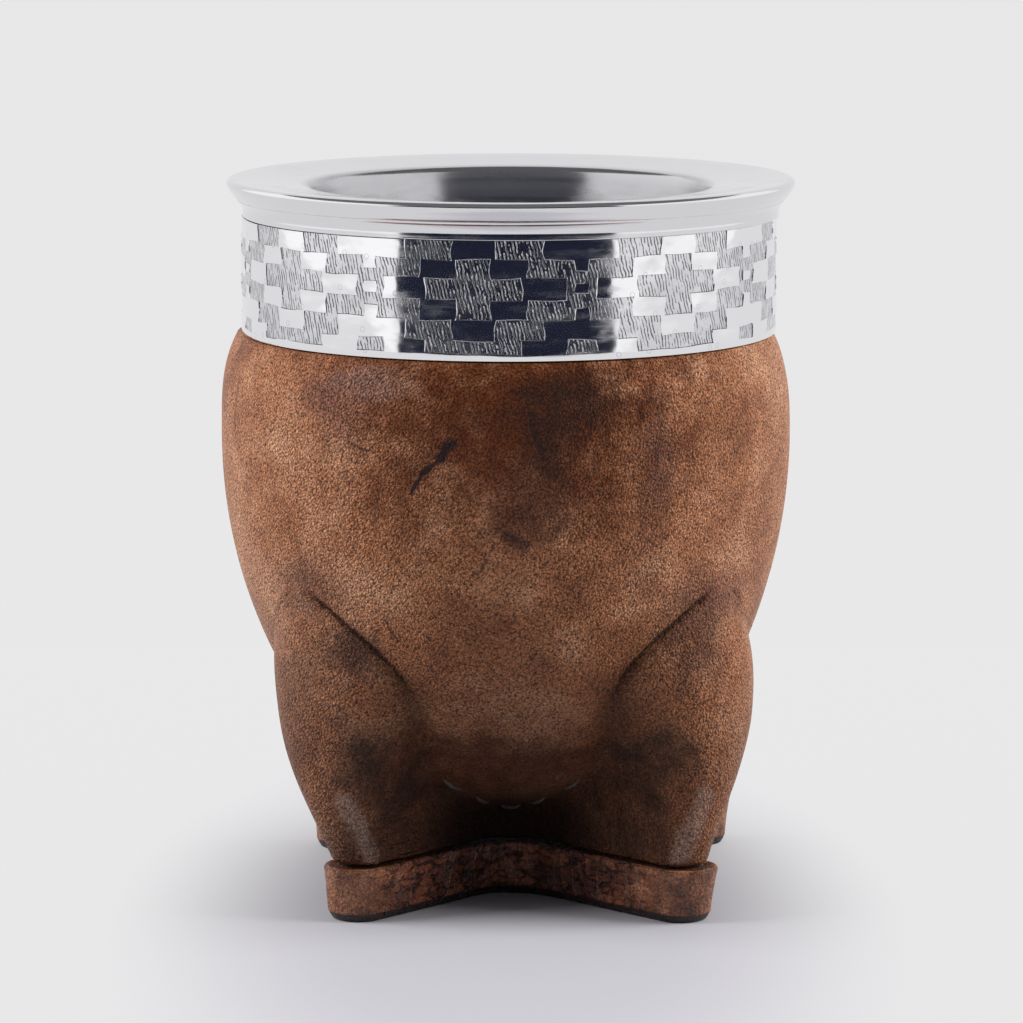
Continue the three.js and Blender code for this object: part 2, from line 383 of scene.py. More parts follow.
cover = {
    "widest": 42.7,
    "widestHeight": 70.0,
    "bottom": 12.5,
    "roundness": (2.0, 0.43),
    "shoulder": 84.2,
    "shoulderDrop": 2.5,
    "neckRadius": 37.5,
    "neckTop": 92.0,
    "lean": -0.45,
    "leather": 2.1,
    "gap": 0.3,
    "gourdNeck": 35.6,
    "hollowBottom": 14.7,
    "foldSoftness": 0.5,
    "foldTopSoftness": 3.0,
    "creaseDepth": 0.6,
    "creaseWidth": 0.45,
    "creaseLip": 0.25,
    "scratchDepth": 0.16,
    "lumps": 0.22,
    "perSide": 60,
    "brownDark": (0.014, 0.005, 0.003),
    "brownDeep": (0.110, 0.034, 0.012),
    "brownMid": (0.245, 0.098, 0.046),
    "brownLight": (0.370, 0.192, 0.114),
    # painted shade towards the bottom of the belly
    "lowShadeBrown": (0.085, 0.030, 0.014),
    "poreBrown": (0.018, 0.007, 0.005),
    "markBrown": (0.009, 0.006, 0.008),
    # painted highlight on the front legs' ridges
    "ridgeHighlightBrown": (0.50, 0.36, 0.30),
    "lowShadeHeights": (54, 16),
    "largePatch": 19.0,
    "smallPatch": 6.5,
    "stainWander": 1.7,
    "specular": 0.18,
    "roughness": 0.38,
    "polishRoughness": 0.24,
    "grainSize": 0.38,
    "grainDepth": 0.2,
}
foot = {
    "bottom": 8.4,
    "inset": 1.6,
    "curl": 0.7,
    "knee": 27.0,
    "apex": 50.0,
    "widestHeight": 38.0,
    "widest": 15.5,
    "apexHalfWidth": 6.0,
}
sole = {
    "height": 8.1,
    "bevel": 1.2,
    "armHalfWidth": 4.8,
    "flare": 0.9,
    "valleyRound": 12.0,
    "edgeRound": 0.45,
    "waver": 0.16,
    "fibreBrown": [(0.1, (0.040, 0.012, 0.008)), (0.5, (0.125, 0.036, 0.018)),
                   (0.9, (0.260, 0.090, 0.042))],
    "tipBrown": [(0.0, (0.060, 0.019, 0.009)), (0.5, (0.150, 0.056, 0.026)),
                 (1.0, (0.250, 0.108, 0.055))],
    "crackBrown": (0.014, 0.006, 0.004),
    "edgeDark": (0.010, 0.006, 0.006),
    "knifeMark": (0.33, 0.22, 0.16),
    "knifeMarks": 0.3,
}
legs = [
    {"soleAngle": -41.0, "reach": 39.0, "kneeAngle": -47.3, "kneeReach": 41.9},
    {"soleAngle": 44.3, "reach": 42.0, "kneeAngle": 51.0, "kneeReach": 43.0},
    {"soleAngle": 133.0, "reach": 46.2, "kneeAngle": 131.5, "kneeReach": 44.5},
    {"soleAngle": 226.0, "reach": 41.0, "kneeAngle": 227.0, "kneeReach": 41.8},
]


def bodyRadius(z, inset=0.0):
    widest = cover["widest"] - inset
    up = np.maximum(z - cover["widestHeight"], 0) / (cover["shoulder"] - cover["widestHeight"])
    depth = cover["widestHeight"] - cover["bottom"] - inset
    down = np.clip((cover["widestHeight"] - z) / depth, 0, 1)
    inner, outer = cover["roundness"]
    return np.where(np.asarray(z) >= cover["widestHeight"], widest - cover["shoulderDrop"] * up ** 3,
                    widest * np.maximum(1 - down ** inner, 0) ** outer)


def armRadius(offAngle, reach, halfWidth):
    a = np.radians(np.abs((offAngle + 180) % 360 - 180))
    centre = reach - halfWidth
    tip = centre * np.cos(a) + np.sqrt(np.maximum(halfWidth ** 2 - (centre * np.sin(a)) ** 2, 0))
    flank = halfWidth / np.maximum(np.sin(a), 1e-6)
    return np.where(a >= np.pi / 2, 0.0, np.where(a <= np.arctan2(halfWidth, centre), tip, flank))


def crossRadius(angle, armOf):
    whole = 0.0
    for leg in legs:
        direction, reach, halfWidth = armOf(leg)
        whole = smoothMax(whole, armRadius(angle - direction, reach, halfWidth), sole["valleyRound"])
    return whole


def soleRadius(angle, grow):
    return crossRadius(angle, lambda leg: (
        leg["soleAngle"], leg["reach"] + grow, sole["armHalfWidth"] + grow * 0.6))


def legSection(leg, z):
    turn = smoothStep(foot["bottom"], 30, z)
    direction = leg["soleAngle"] + (leg["kneeAngle"] - leg["soleAngle"]) * turn
    above = share(foot["knee"], foot["apex"], z) ** 1.6
    below = share(foot["knee"], foot["bottom"], z) ** 2.2
    knee = leg["kneeReach"]
    reach = knee - (knee - bodyRadius(foot["apex"])) * above - (knee - leg["reach"] + foot["inset"]) * below
    narrow = sole["armHalfWidth"] - foot["inset"] * 0.75
    widening = np.sin(np.pi / 2 * share(foot["bottom"], foot["widestHeight"], z) ** 1.9)
    closing = share(foot["widestHeight"], foot["apex"], z) ** 2
    halfWidth = narrow + (foot["widest"] - narrow) * widening
    return direction, reach, halfWidth - (foot["widest"] - foot["apexHalfWidth"]) * closing


def lumpiness(angle, z):
    a = np.radians(angle)
    return (0.45 * np.sin(3 * a + z * 0.05 + 1.0) + 0.3 * np.sin(5 * a - z * 0.11 + 0.4)
            + 0.35 * np.sin(2 * a + z * 0.17) + 0.2 * np.sin(9 * a + z * 0.23 + 2.0))


def legAboveBelly(angle, z):
    return crossRadius(angle, lambda leg: legSection(leg, z)) - bodyRadius(z)


def foldDistance(angle, z):
    # how far along the leather to the line where leg and belly meet, more than 0 on the leg
    step = 0.1
    turn = np.degrees(step / np.maximum(bodyRadius(z), 8.0))
    slopeAcross = (legAboveBelly(angle + turn, z) - legAboveBelly(angle - turn, z)) / (2 * step)
    slopeUp = (legAboveBelly(angle, z + step) - legAboveBelly(angle, z - step)) / (2 * step)
    return legAboveBelly(angle, z) / np.maximum(np.hypot(slopeAcross, slopeUp), 0.08)


def creaseZone(z):
    # the crease is sharp where the leg's top leaves the belly and softens lower down
    return smoothStep(50.5, 47.5, z) * (0.25 + 0.75 * smoothStep(31, 38, z)) * smoothStep(15, 19, z)


def leatherRadius(angle, z, detail=True):
    angle, z = np.broadcast_arrays(np.asarray(angle, float), np.asarray(z, float))
    belly = bodyRadius(z)
    fade = 6.0 * smoothStep(foot["apex"] - 2, foot["apex"] + 4, z)
    legged = crossRadius(angle, lambda leg: legSection(leg, z)) - fade
    legged = np.where(z > foot["apex"] + 4, 0.0, legged)
    sharp, soft = cover["foldSoftness"], cover["foldTopSoftness"]
    softness = sharp + (soft - sharp) * smoothStep(37, foot["apex"], z)
    radius = smoothMax(belly, legged, softness)
    if not detail:
        return radius
    away = foldDistance(angle, z)
    radius = radius - cover["creaseDepth"] * creaseZone(z) * np.exp(-(away / cover["creaseWidth"]) ** 2)
    radius += cover["creaseLip"] * creaseZone(z) * np.exp(-((away - 1.0) / 0.6) ** 2)
    radius += cover["lumps"] * lumpiness(angle, z) * smoothStep(84, 76, z) * smoothStep(12, 30, z)
    return radius


def coverLean(z):
    return cover["lean"] * smoothStep(foot["knee"], foot["apex"], z)


def frontPoint(x, z, first=-80.0, last=80.0):
    # the point of the leather at this x and height, looked for between two angles
    angles = np.linspace(first, last, 1201)
    radii = leatherRadius(angles, z)
    spot = np.argmin(np.abs(radii * np.sin(np.radians(angles)) + coverLean(z) - x))
    return tuple(float(v) for v in onCup(angles[spot], radii[spot], z, coverLean(z)))


def onFront(strokes, *sides):
    # strokes from (x, z) to (x, z) on the front, each followed by its width and raggedness
    return [(frontPoint(*start, *sides), frontPoint(*end, *sides), *rest) for start, end, *rest in strokes]


scratch = onFront([((-13.9, 65.4), (-12.4, 68.6), 0.4, 0.4), ((-12.4, 68.6), (-8.9, 71.4), 0.6, 1.1),
                   ((-9.8, 70.8), (-8.0, 73.2), 0.95, 2.0)])


def scratchDepth(points):
    depth = np.zeros(points.shape[:-1])
    for start, end, width, _ in scratch:
        line = np.array(end) - start
        t = np.clip(((points - start) @ line) / (line @ line), 0, 1)
        far = np.linalg.norm(points - start - t[..., None] * line, axis=-1)
        depth = np.maximum(depth, cover["scratchDepth"] * smoothStep(width + 0.4, width * 0.4, far))
    return depth


def ringAngles(radiusAt, directions, perSide, gather=1.25):
    u = np.arange(perSide) / perSide
    fine = np.linspace(0, 1, 181)
    angles = []
    for i, tip in enumerate(directions):
        after = directions[i + 1] if i + 1 < len(directions) else directions[0] + 360
        valley = (tip + after) / 2
        for start, end, wanted in ((tip, valley, u ** gather), (valley, after, 1 - (1 - u) ** gather)):
            sweep = start + (end - start) * fine
            points = onCup(sweep, radiusAt(sweep), 0.0)
            length = np.concatenate([[0], np.cumsum(np.linalg.norm(np.diff(points, axis=0), axis=1))])
            angles.append(np.interp(wanted, length / length[-1], sweep))
    return np.concatenate(angles)


def makeCover():
    # rings lie closest where the legs fold away from the belly
    heights = [foot["bottom"]]
    for top, steps in ((9.3, 3), (12.2, 7), (16.5, 23), (52, 97), (80, 25), (cover["shoulder"], 8)):
        heights += list(np.linspace(heights[-1], top, steps + 1)[1:])
    rings = []
    allAngles = []
    for z in heights:
        directions = [float(legSection(leg, z)[0]) for leg in legs]
        angles = ringAngles(lambda a: leatherRadius(a, z, False), directions, cover["perSide"])
        radius = leatherRadius(angles, z) - foot["curl"] * share(9.3, 8.4, z) ** 2
        radius -= scratchDepth(onCup(angles, radius, z, coverLean(z)))
        rings.append(onCup(angles, radius, z, coverLean(z)))
        allAngles.append(angles)
    columns = len(angles)
    outerRows = len(rings)
    # rolled edge under the band, then the neck and the hollow for the gourd
    inset = cover["leather"] + cover["gap"]
    shoulder, neck, top = (cover[k] for k in ("shoulder", "neckRadius", "neckTop"))
    shoulderRadius = float(leatherRadius(0, shoulder))
    for radius, z in ((shoulderRadius - 0.5, shoulder + 0.12), (neck + 0.3, shoulder + 0.12),
                      (neck, shoulder + 0.5), (neck, top), (36.0, top), (35.95, 84.0)):
        rings.append(onCup(angles, radius, z))
    for z in (80.0, 76.0, 70.0, 58.0, 46.0, 36.0, 28.0, 22.0, 18.5, 16.3, 15.3):
        narrow = smoothStep(72, shoulder, z)
        radius = bodyRadius(z, inset) * (1 - narrow) + cover["gourdNeck"] * narrow + cover["gap"]
        rings.append(onCup(angles, radius, z - cover["gap"]))
    points, faces = capped(rings, heights[0], cover["hollowBottom"])
    piece = meshPiece("leatherCover", points, faces, "leather_cover")

    angle = np.zeros(len(points))
    z = np.zeros(len(points))
    count = outerRows * columns
    angle[:count] = np.concatenate(allAngles)
    z[:count] = np.repeat(heights, columns)
    outside = np.zeros(len(points))
    outside[:count] = 1
    reachNow = np.linalg.norm(points[:, :2], axis=1)
    away = foldDistance(angle, np.maximum(z, 8.4))
    # masks for painted shade in the fold, along the crease, on the inner legs, on the low walls and under the
    # belly, where dark dye is painted too; wall and under also set wrinkles and roughness
    addMask(piece, "fold", np.exp(-(away / 2.2) ** 2) * smoothStep(47, 38, z) * outside)
    addMask(piece, "creased", creaseZone(z) * outside)
    addMask(piece, "foldAway", np.clip(away, -9, 9))
    off = np.full(len(points), 90.0)
    for leg in legs:
        direction = legSection(leg, z)[0]
        off = np.minimum(off, np.abs((angle - direction + 180) % 360 - 180))
    beside = smoothStep(2, 14, off) * smoothStep(-3.0, 2.0, away)
    addMask(piece, "wall", smoothStep(21, 13, z) * smoothStep(42, 36, reachNow) * outside)
    addMask(piece, "shade", beside * smoothStep(35, 18, z) * outside)
    addMask(piece, "under", smoothStep(25, 12, z) * smoothStep(36, 15, reachNow) * outside)
    return piece


# Dye stains, with painted sheen and painted shade among them: middle and half size, colour, strength. The
# first is the orange brown of the top front.
stainsAndPaintedLight = [
    ((2, -41, 78), (33, 26, 20), (0.074, 0.016, 0.002), 0.98),
    ((9, -41, 79), (10, 12, 6), (0.024, 0.008, 0.004), 0.9),
    ((6, -42, 72), (4.5, 12, 7), (0.030, 0.010, 0.006), 0.75),
    ((4, -42, 63), (7, 14, 6), (0.055, 0.018, 0.010), 0.75),
    # painted sheen on the upper left of the belly
    ((-20, -38, 81), (7, 12, 2.5), (0.220, 0.145, 0.125), 0.4),
    ((22, -38, 70), (4, 10, 9), (0.100, 0.045, 0.032), 0.6),
    # painted sheen on the upper left of the belly
    ((-25, -33, 77), (7, 12, 6), (0.150, 0.070, 0.055), 0.5),
    ((-30, -30, 50), (9, 12, 5), (0.085, 0.040, 0.030), 0.6),
    ((31, -29, 48), (9, 12, 6), (0.085, 0.040, 0.032), 0.6),
    ((20, -37, 55), (3, 9, 12), (0.120, 0.050, 0.030), 0.4),
    # painted shade on the left leg just below the crease
    ((-22.5, -30, 41), (6, 10, 5), (0.045, 0.018, 0.012), 0.85),
    ((-30, -24, 24), (7, 9, 5), (0.080, 0.030, 0.016), 0.5),
    # painted shade on the right leg just below the crease
    ((26, -28, 41), (6, 10, 9), (0.055, 0.022, 0.014), 0.7),
    ((-30, -26, 33), (11, 12, 15), (0.070, 0.030, 0.019), 0.6),
    # painted shade where the belly curves under at the front
    ((0, -30, 22), (20, 12, 9), (0.052, 0.014, 0.005), 0.95),
]
# Dark marks on the front: from and to as (x, z), width, raggedness, strength
marks = onFront([
    ((-1.9, 58.6), (-4.0, 54.6), 0.3, 0.3, 0.6), ((-4.0, 54.6), (-7.6, 51.0), 0.24, 0.3, 0.55),
    ((0.2, 59.4), (2.2, 57.8), 1.3, 1.5, 0.6), ((-23.2, 72.4), (-19.4, 71.2), 0.4, 0.4, 0.45),
    ((-39.6, 79.0), (-40.4, 72.0), 0.5, 1.0, 0.5), ((3.4, 77.0), (5.0, 71.0), 0.6, 1.6, 0.55),
    ((20.6, 80.0), (21.2, 68.0), 0.45, 1.2, 0.35), ((-17.6, 46.2), (-16.0, 43.0), 0.3, 0.3, 0.7),
    ((-11.6, 43.9), (-11.3, 43.6), 0.42, 0.1, 0.9), ((-31.0, 58.0), (-30.0, 48.0), 0.5, 1.2, 0.3),
]) + [(*stroke, 0.93) for stroke in scratch]
# The ridges of the two front legs, rubbed shiny, with a painted highlight along them
shinyRidgesWithHighlight = (onFront([((-23.8, 18.5), (-19.9, 9.5), 1.9, 1.7)], -41, 0)
                + onFront([((28.9, 19.5), (25.2, 9.5), 1.9, 1.7)], 0, 44))


def paintStainsAndLight(tree, p, colour, wobble):
    for centre, size, dye, strength in stainsAndPaintedLight:
        shrink = 1 / np.array(size)
        away = vectorCalc(tree, "MULTIPLY_ADD", p, tuple(map(float, shrink)),
                          tuple(map(float, -shrink * centre)))
        far = vectorCalc(tree, "LENGTH", vectorCalc(tree, "ADD", away, wobble))
        colour = blend(tree, remap(tree, far, 1.3, 0.2, 0.0, strength), colour, dye)
    return colour


def makeCoverLeather():
    material, tree, shader, p = newMaterial("coverLeather")
    fold, wall, shade, under, creased, foldAway = (mask(tree, name) for name in (
        "fold", "wall", "shade", "under", "creased", "foldAway"))
    large = mottled(tree, p, cover["largePatch"], 0.95)
    small = mottled(tree, vectorCalc(tree, "ADD", p, (40, 9, 3)), cover["smallPatch"], 1.05)
    tone = calc(tree, "MULTIPLY_ADD", large, 0.55, times(tree, small, 0.45))
    colour = gradient(tree, tone, [(0.0, cover["brownDeep"]), (0.45, cover["brownMid"]),
                                   (1.0, cover["brownLight"])])
    # painted shade: darker towards the bottom of the belly
    low = remap(tree, axis(tree, p, "Z"), *cover["lowShadeHeights"], 0.0, 0.66)
    colour = blend(tree, low, colour, cover["lowShadeBrown"])
    wobble = scaled(tree, wander(tree, p, 0.22, 2.5, 0.65), cover["stainWander"])
    # dye stains, painted sheen and painted shade
    colour = paintStainsAndLight(tree, p, colour, wobble)
    grit = calc(tree, "SUBTRACT", noise(tree, p, 1.1, 2.0, 0.65), 0.5)
    swayed = vectorCalc(tree, "ADD", p, scaled(tree, wobble, 0.9))
    scratched = strongest(tree, *(times(tree, drawStroke(tree, swayed, grit, *stroke), strength)
                                  for *stroke, strength in marks))
    colour = blend(tree, scratched, colour, cover["markBrown"])
    polishedAndHighlit = strongest(tree, *(drawStroke(tree, swayed, grit, *stroke) for stroke in shinyRidgesWithHighlight))

    # painted shade darkens the folds, the crease line, the inner legs and the low walls; under the belly it
    # is painted shade and dark dye together
    cloudy = calc(tree, "MULTIPLY_ADD", small, 1.0, times(tree, shade, 1.1))
    shaded = times(tree, times(tree, remap(tree, cloudy, 0.45, 1.65), remap(tree, shade, 0.0, 0.35)), 0.85)
    wavering = calc(tree, "MULTIPLY_ADD", grit, 1.1, calc(tree, "SUBTRACT", foldAway, 0.1))
    line = times(tree, remap(tree, calc(tree, "ABSOLUTE", wavering), 0.42, 0.1), creased)
    foldAndWallShade = strongest(tree, times(tree, fold, 0.45), times(tree, wall, 0.72))
    patchy = times(tree, foldAndWallShade, remap(tree, small, 0.0, 0.8, 0.7, 1.1), clamp=True)
    dark = strongest(tree, patchy, shaded, times(tree, line, 0.85), under)
    # painted shade, with dark dye under the belly
    colour = blend(tree, dark, colour, cover["brownDark"])
    # painted highlight along the front legs' ridges
    colour = blend(tree, times(tree, polishedAndHighlit, 0.10), colour, cover["ridgeHighlightBrown"])

    grain = place(tree, pebbleGrain, {"Vector": p, "Cell Size": cover["grainSize"], "Wobble": 1.7})
    colour = blend(tree, 1.0, colour, gradient(tree, grain["Tone"], [
        (0.0, (0.42, 0.37, 0.33)), (0.5, (1.0, 1.0, 1.0)), (1.0, (1.72, 1.74, 1.70))]), "MULTIPLY")
    colour = blend(tree, times(tree, grain["Pores"], 0.8), colour, cover["poreBrown"])
    # wrinkles run level on the left leg and upright on the right one
    side = remap(tree, axis(tree, p, "X"), -3.0, 3.0)
    pulled = wrinkled(tree, p, blend(tree, side, (0.10, 0.10, 0.75), (0.42, 0.42, 0.10)), 2.2)
    worked = times(tree, calc(tree, "SUBTRACT", pulled, 1.0), wall)
    normal = bump(tree, grain["Height"], cover["grainDepth"], 0.8)
    normal = bump(tree, worked, 0.4, 0.7, normal)
    rough = calc(tree, "MULTIPLY_ADD", small, 0.12, calc(
        tree, "MULTIPLY_ADD", grain["Pores"], 0.2, cover["roughness"]))
    rough = calc(tree, "MULTIPLY_ADD", wall, -0.10, rough)
    rough = strongest(tree, calc(tree, "MULTIPLY_ADD", polishedAndHighlit, -0.16, rough), times(tree, under, 0.9))
    finish(tree, shader, colour, rough, normal)
    plug(tree, shader.inputs["Coat Weight"], times(tree, polishedAndHighlit, 0.6))
    shader.inputs["Coat Roughness"].default_value = cover["polishRoughness"]
    shader.inputs["Specular IOR Level"].default_value = cover["specular"]
    return material


leatherCover = makeCover()
dress(leatherCover, makeCoverLeather())
print("leather cover made", len(leatherCover.data.polygons))


# The sole

def makeSole():
    # the edge from the floor up: height, and how far the cross grows or shrinks there
    h, bevel, r, flare = (sole[k] for k in ("height", "bevel", "edgeRound", "flare"))
    profile = [(0.0, -flare - 1.0), (0.12, -flare - 0.72), (0.55, -flare - 0.4),
               (bevel - 0.1, -flare - 0.12), (bevel, -flare - 0.02), (bevel + 0.12, -flare)]
    for z in np.linspace(bevel + 0.5, h - 1.0, 14):
        part = (z - bevel) / (h - bevel)
        profile.append((z, -flare * (1 - part) - 0.12 * math.sin(math.pi * part)))
    for a in np.linspace(0, math.pi / 2, 5):
        profile.append((h - r + r * math.sin(a), -r + r * math.cos(a)))
    profile += [(h - 0.05, -0.9), (h - 0.15, -1.5), (h - 0.15, -2.3)]
    directions = [leg["soleAngle"] for leg in legs]
    angles = ringAngles(lambda a: soleRadius(a, 0), directions, 60, 1.15)
    turn = np.radians(angles)
    rings = []
    for z, grow in profile:
        radius = soleRadius(angles, grow)
        waver = sole["waver"] * (np.sin(7 * turn + z * 0.3) + 0.6 * np.sin(13 * turn - z * 0.5 + 1))
        rings.append(onCup(angles, radius + waver, z))
    points, faces = capped(rings, 0.0, h - 0.15)
    piece = meshPiece("crossSole", points, faces, "sole")
    outer = np.linalg.norm(points[:, :2], axis=1)
    addMask(piece, "armTip", smoothStep(27, 37, outer))
    return piece


def makeSoleLeather():
    material, tree, shader, p = newMaterial("soleLeather")
    tip = mask(tree, "armTip")
    height = axis(tree, p, "Z")
    blotch = mottled(tree, p, 4.0, 1.2)
    # pressed fibre shows as short flat blocks between dark cracks, crossed by upright knife marks
    drifted = vectorCalc(tree, "ADD", p, scaled(tree, wander(tree, p, 0.5, 2.0), 1.2))
    flat = vectorCalc(tree, "MULTIPLY", drifted, (0.27, 0.27, 0.8))
    blocks = put(tree, "TexVoronoi", {"Vector": flat, "Scale": 1.0}, feature="DISTANCE_TO_EDGE")
    block = put(tree, "TexVoronoi", {"Vector": flat, "Scale": 1.0})
    blockTone = put(tree, "SeparateColor", {"Color": block.outputs["Color"]}).outputs[0]
    colour = gradient(tree, calc(tree, "MULTIPLY_ADD", blotch, 0.5, times(tree, blockTone, 0.5)),
                      sole["fibreBrown"])
    colour = blend(tree, times(tree, tip, 0.85), colour, gradient(tree, blotch, sole["tipBrown"]))
    plainer = flip(tree, times(tree, tip, 0.8))
    cracks = times(tree, remap(tree, blocks.outputs["Distance"], 0.13, 0.03), times(
        tree, plainer, remap(tree, noise(tree, p, 0.7, 2.0), 0.4, 0.6)))
    cuts = times(tree, flip(tree, wrinkled(tree, p, (0.30, 0.30, 0.03), 16.0)), plainer)
    colour = blend(tree, times(tree, cracks, 0.9), colour, sole["crackBrown"])
    colour = blend(tree, times(tree, cuts, sole["knifeMarks"]), colour, sole["knifeMark"])
    grain = place(tree, pebbleGrain, {"Vector": p, "Cell Size": 0.45, "Wobble": 1.4})
    colour = blend(tree, 1.0, colour, gradient(tree, grain["Tone"], [
        (0.0, (0.6, 0.56, 0.54)), (1.0, (1.4, 1.4, 1.35))]), "MULTIPLY")
    colour = blend(tree, times(tree, grain["Pores"], 0.55), colour, cover["poreBrown"])
    # the bevel at the floor is dark, and the ledge round the feet gets painted shade
    worn = noise(tree, p, 0.9, 3.0, 0.6)
    low = remap(tree, calc(tree, "MULTIPLY_ADD", worn, 0.5, height), 1.75, 1.3)
    # painted shade on the ledge under the leather's edge
    ledgeShade = remap(tree, height, 7.75, 8.02)
    inner = remap(tree, height, 8.0, 7.97)
    dark = strongest(tree, low, times(tree, times(tree, ledgeShade, inner), 0.8))
    colour = blend(tree, times(tree, dark, 0.93), colour, sole["edgeDark"])
    normal = bump(tree, grain["Height"], 0.14, 0.7)
    normal = bump(tree, cracks, -0.5, 0.8, normal)
    normal = bump(tree, cuts, 0.3, 0.9, normal)
    finish(tree, shader, colour, calc(tree, "MULTIPLY_ADD", blotch, 0.18, 0.36), normal)
    return material


crossSole = makeSole()
dress(crossSole, makeSoleLeather())
print("sole made")


# The seams' stitches

seam = {
    "lowest": 13.7,
    "rise": 6.8,
    "short": 18.0,
    "stitches": 5,
    "fill": 0.62,
    "threadRadius": 0.3,
    "sink": 0.35,
    "arch": 0.22,
    # the pale grey thread is painted dark, as painted shade where it lies under the belly
    "thread": (0.060, 0.054, 0.047),
    "dirt": (0.045, 0.032, 0.025),
}


def seamPoint(middle, half, t):
    side = 2 * t - 1
    angle = middle + half * side
    z = seam["lowest"] + seam["rise"] * side * side

    def at(a, h):
        return onCup(a, leatherRadius(a, h), h, coverLean(h))

    here = at(angle, z)
    across = at(angle + 0.4, z) - at(angle - 0.4, z)
    up = at(angle, z + 0.06) - at(angle, z - 0.06)
    out = np.cross(across, up)
    return here, out / np.linalg.norm(out)


def makeStitches(side, i):
    middles = [(leg["soleAngle"] + leg["kneeAngle"]) / 2 for leg in legs]
    after = middles[i + 1] if i < 3 else middles[0] + 360
    middle = (middles[i] + after) / 2
    half = (after - middles[i]) / 2 - seam["short"]
    # even steps along the seam
    fine = np.linspace(0, 1, 121)
    trace = np.array([seamPoint(middle, half, t)[0] for t in fine])
    length = np.concatenate([[0], np.cumsum(np.linalg.norm(np.diff(trace, axis=0), axis=1))])
    points = []
    faces = []
    sides, steps = 10, 12
    for k in range(seam["stitches"]):
        jitter = rng.uniform(-0.06, 0.06, 2)
        start = (k + 0.5 - seam["fill"] / 2 + jitter[0]) / seam["stitches"]
        end = (k + 0.5 + seam["fill"] / 2 + jitter[1]) / seam["stitches"]
        path = []
        for s in np.linspace(0, 1, steps):
            along = np.interp((start + (end - start) * s) * length[-1], length, fine)
            here, out = seamPoint(middle, half, along)
            lift = -seam["sink"] + (seam["sink"] + seam["arch"]) * math.sin(math.pi * s) ** 0.7
            path.append((here + out * lift, out))
        centres = np.array([c for c, _ in path])
        tangents = np.gradient(centres, axis=0)
        base = len(points)
        for (centre, out), tangent, s in zip(path, tangents, np.linspace(0, 1, steps)):
            tangent = tangent / np.linalg.norm(tangent)
            sideways = np.cross(out, tangent)
            sideways /= np.linalg.norm(sideways)
            radius = seam["threadRadius"] * (0.55 + 0.45 * math.sin(math.pi * s) ** 0.5)
            for j in range(sides):
                a = 2 * math.pi * j / sides
                points.append(centre + radius * (math.cos(a) * out + math.sin(a) * sideways))
        faces += gridFaces(steps, sides, base)
        points += [centres[0], centres[-1]]
        faces += cap(len(points) - 2, base, sides, False)
        faces += cap(len(points) - 1, base + (steps - 1) * sides, sides, True)
    return meshPiece(f"stitches{side.capitalize()}", points, faces, f"seam_thread_{side}")


def makeThread():
    material, tree, shader, p = newMaterial("waxedThread")
    strand = put(tree, "TexWave", {"Vector": p, "Scale": 1.1, "Distortion": 2.0, "Detail": 2.0},
                 bands_direction="DIAGONAL").outputs["Fac"]
    dirt = mottled(tree, p, 1.6, 1.2)
    colour = blend(tree, times(tree, dirt, 0.75), seam["thread"], seam["dirt"])
    finish(tree, shader, colour, calc(tree, "MULTIPLY_ADD", dirt, 0.2, 0.35), bump(tree, strand, 0.12, 0.7))
    return material


waxedThread = makeThread()
for i, side in enumerate(("front", "right", "back", "left")):
    dress(makeStitches(side, i), waxedThread)
print("stitches made")


# The gourd inside

gourd = {
    "wall": 5.0,
    "mouthRadius": 31.1,
    "shell": [(0.0, (0.075, 0.035, 0.014)), (0.6, (0.21, 0.105, 0.042)), (1.0, (0.33, 0.19, 0.085))],
    "fibre": (0.05, 0.024, 0.010),
}


def makeGourd():
    inset = cover["leather"] + cover["gap"]
    wall, mouth, neck = gourd["wall"], gourd["mouthRadius"], cover["gourdNeck"]
    bottom = cover["bottom"] + inset
    outer = []
    for z in np.concatenate([[0.3, 1, 2], np.linspace(3.5, 66, 26)]) + bottom:
        thick = smoothStep(72, cover["shoulder"], z)
        outer.append((bodyRadius(z, inset) * (1 - thick) + neck * thick, z))
    lip = [(neck, 100.0), (neck, 103.5), (35.2, 104.0), (34.4, 104.1), (32.2, 104.1), (31.4, 103.9),
           (mouth, 103.2)]
    inner = []
    for z in np.concatenate([np.linspace(92, 74, 10), np.linspace(70, bottom + wall + 3, 22),
                             np.array([2, 1, 0.3]) + bottom + wall]):
        narrow = smoothStep(cover["widestHeight"], cover["neckTop"], z)
        radius = bodyRadius(np.minimum(z, cover["widestHeight"]), inset + wall)
        inner.append((radius * (1 - narrow) + mouth * narrow, z))
    profile = np.array([(0.02, bottom)] + outer + lip + inner + [(0.02, bottom + wall)], float)
    angles = np.arange(0, 360, 2.25)
    points, faces = capped(onCup(angles[None, :], profile[:, :1], profile[:, 1:]), bottom, bottom + wall)
    return meshPiece("gourdShell", points, faces, "gourd")


def makeGourdSkin():
    material, tree, shader, p = newMaterial("gourdSkin")
    cloud = mottled(tree, p, 9.0, 1.1)
    fibres = wrinkled(tree, p, (0.9, 0.9, 0.12), 3.0)
    colour = blend(tree, times(tree, flip(tree, fibres), 0.6), gradient(tree, cloud, gourd["shell"]),
                   gourd["fibre"])
    finish(tree, shader, colour, calc(tree, "MULTIPLY_ADD", cloud, 0.15, 0.65), bump(tree, fibres, 0.4, 0.8))
    return material


dress(makeGourd(), makeGourdSkin())
print("gourd made")


# The collar

